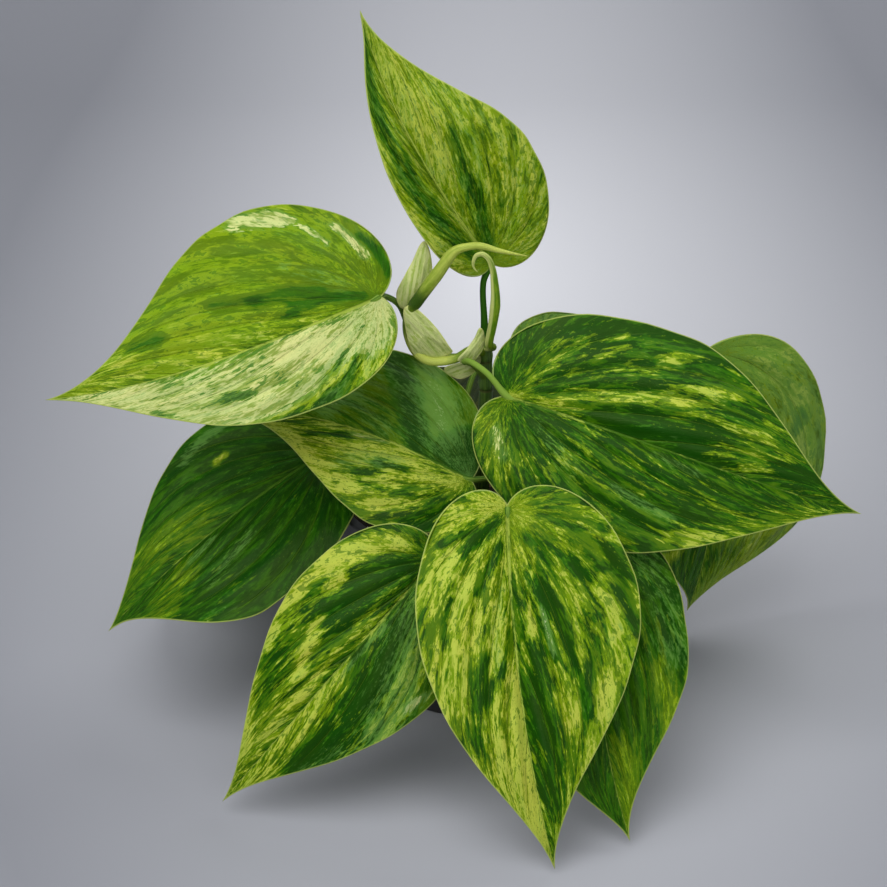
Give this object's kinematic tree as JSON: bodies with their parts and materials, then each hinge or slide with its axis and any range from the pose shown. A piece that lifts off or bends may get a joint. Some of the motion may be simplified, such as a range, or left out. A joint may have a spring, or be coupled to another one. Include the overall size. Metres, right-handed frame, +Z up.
{
  "type": "potted heartleaf philodendron",
  "caption": "Potted heartleaf philodendron with variegated heart-shaped leaves on slender stalks, short vines rising from soil in a plain tapered grower's pot.",
  "frame": {"origin": "middle of the pot's underside, on the surface that the pot stands on", "axes": "+Z up, -Y towards the front where the largest leaf hangs, +X to the right as seen from the front, which is the plant's widest way"},
  "size_m": [0.2468, 0.2187, 0.2217],
  "materials": {
    "pot_plastic": "charcoal moulded plastic, satin, faint flow marks",
    "soil": "dark damp potting mix with bark and perlite, matte",
    "stem": "smooth green vine, slightly waxy, brown at the nodes",
    "leaf": "waxy dark green blade mottled with lime and cream, satin sheen",
    "young_leaf": "pale yellow-green young growth, waxy"
  },
  "bodies": {
    "root": {"pot": "pot_plastic", "soil": "soil", "young_shoot": "young_leaf", "curled_leaf": "young_leaf", "stem_main": "stem", "stem_left": "stem", "stem_front": "stem", "stem_right": "stem", "stem_back": "stem", "leaf_front": "leaf", "leaf_lower_left": "leaf", "leaf_lower_right": "leaf", "leaf_right": "leaf", "leaf_left": "leaf", "leaf_center": "leaf", "leaf_far_left": "leaf", "leaf_right_back": "leaf", "leaf_above_right": "leaf", "leaf_top": "leaf", "leaf_back_left": "leaf", "leaf_back": "leaf", "leaf_back_right": "leaf", "leaf_side_left": "leaf"}
  },
  "joints": []
}
